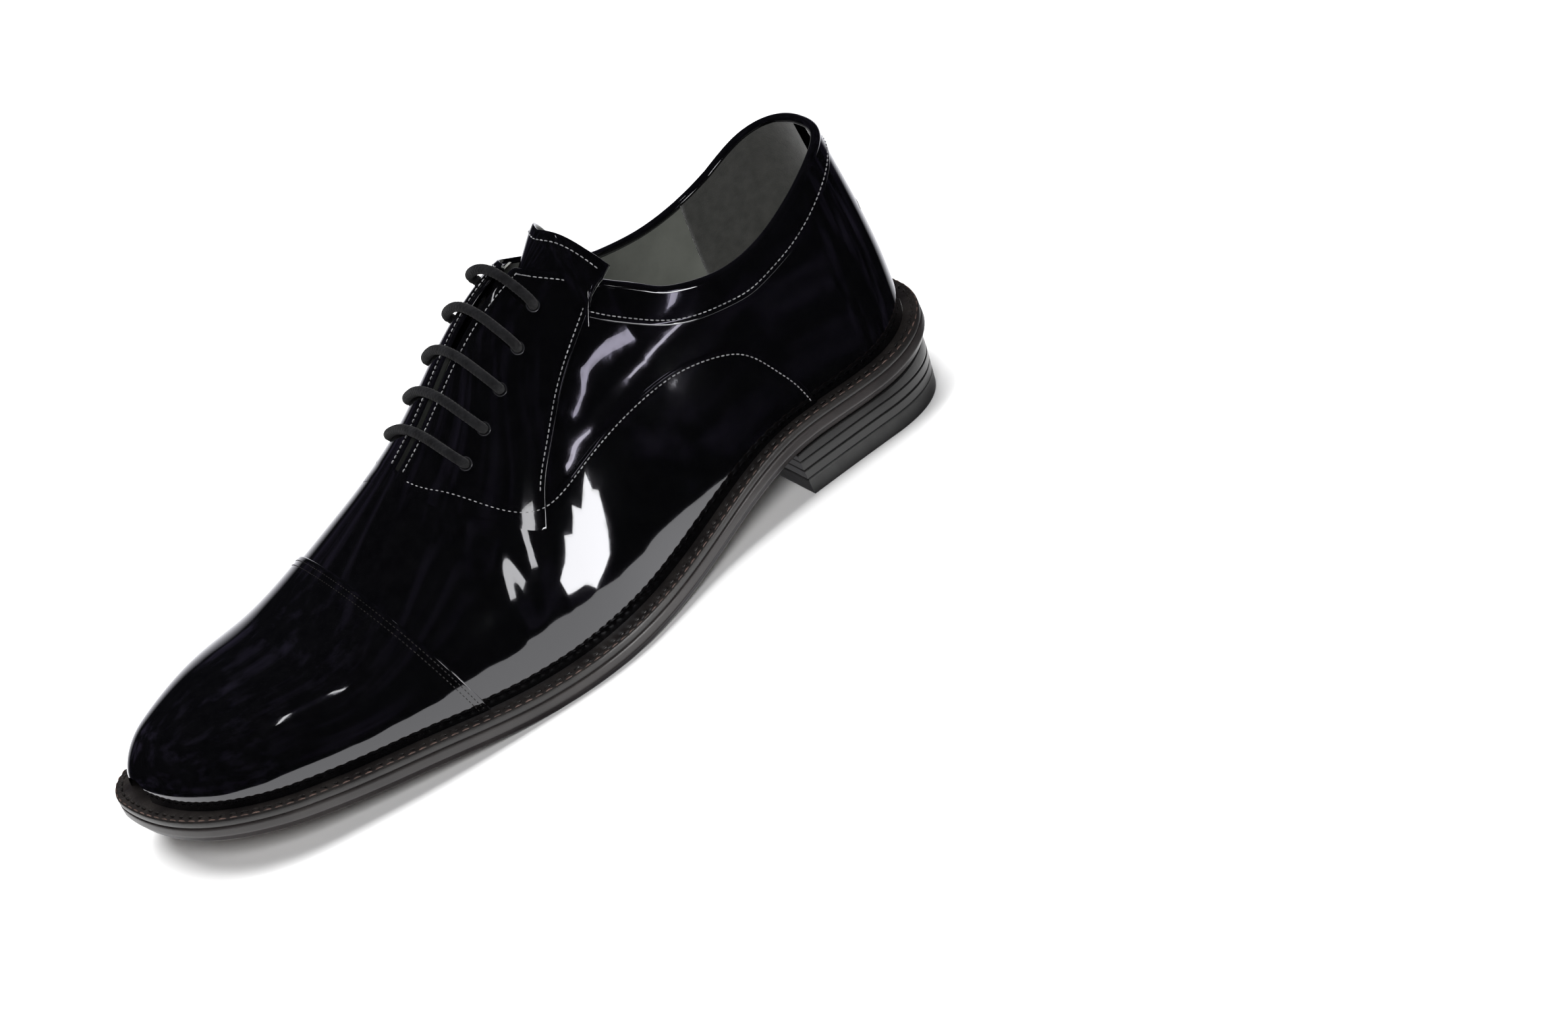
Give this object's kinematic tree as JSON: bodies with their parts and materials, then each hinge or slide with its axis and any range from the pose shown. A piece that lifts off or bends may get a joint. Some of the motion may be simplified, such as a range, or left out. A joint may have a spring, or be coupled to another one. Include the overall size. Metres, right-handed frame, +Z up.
{
  "type": "leather oxford shoe",
  "caption": "Black patent cap-toe oxford for the left foot, laced, with welted leather sole, stacked heel and a tongue that presses in.",
  "frame": {"origin": "on the floor, under the middle of the shoe's length and width", "axes": "+X towards the toe, +Y to the wearer's left (the outer side), +Z up"},
  "size_m": [0.3021, 0.1092, 0.1207],
  "materials": {
    "patent": "black patent leather, mirror gloss over fine creases",
    "tongue_patent": "black patent leather, slightly duller",
    "lining": "smooth grey lining leather with a soft sheen",
    "suede": "dark grey suede",
    "stiffener": "stiffened fibre board",
    "eyelet": "dark steel rings",
    "lace": "round waxed cotton braid, matte black",
    "aglet": "clear film over black lace",
    "welt": "black dyed leather, stitched and wheeled",
    "shank": "spring steel strip",
    "cork": "pressed cork",
    "insole": "vegetable tanned leather board",
    "sock": "thin grey leather",
    "sole": "dark burnished leather edge, satin",
    "nail": "brass nails",
    "rubber": "black rubber, fine matte",
    "heel_stack": "stacked leather, inked black and polished"
  },
  "bodies": {
    "shoe": {"toe_cap": "patent", "vamp": "patent", "quarter_lateral": "patent", "quarter_medial": "patent", "facing_lateral": "patent", "facing_medial": "patent", "collar_band_lateral": "patent", "collar_band_medial": "patent", "back_strap": "patent", "vamp_lining": "lining", "quarter_lining_lateral": "lining", "quarter_lining_medial": "lining", "heel_grip": "suede", "heel_counter": "stiffener", "toe_puff": "stiffener", "blind_eyelets": "eyelet", "shoelace": "lace", "aglets": "aglet", "welt": "welt", "shank": "shank", "cork_filler": "cork", "insole": "insole", "sock_liner": "sock", "outsole": "sole", "heel_nails": "nail", "top_piece": "rubber", "heel_lift_lower": "heel_stack", "heel_lift_upper": "heel_stack", "heel_seat_lift": "heel_stack"},
    "tongue": {"tongue": "tongue_patent", "tongue_lining": "lining"}
  },
  "joints": [
    {"name": "tongue_tilt", "type": "hinge", "parent": "shoe", "child": "tongue", "pos_m": [0.036, 0, 0.0645], "axis": [0, -1, 0], "range_deg": [0, 16], "stiffness_Nm_per_rad": 0.6, "springref_deg": -2.86}
  ]
}
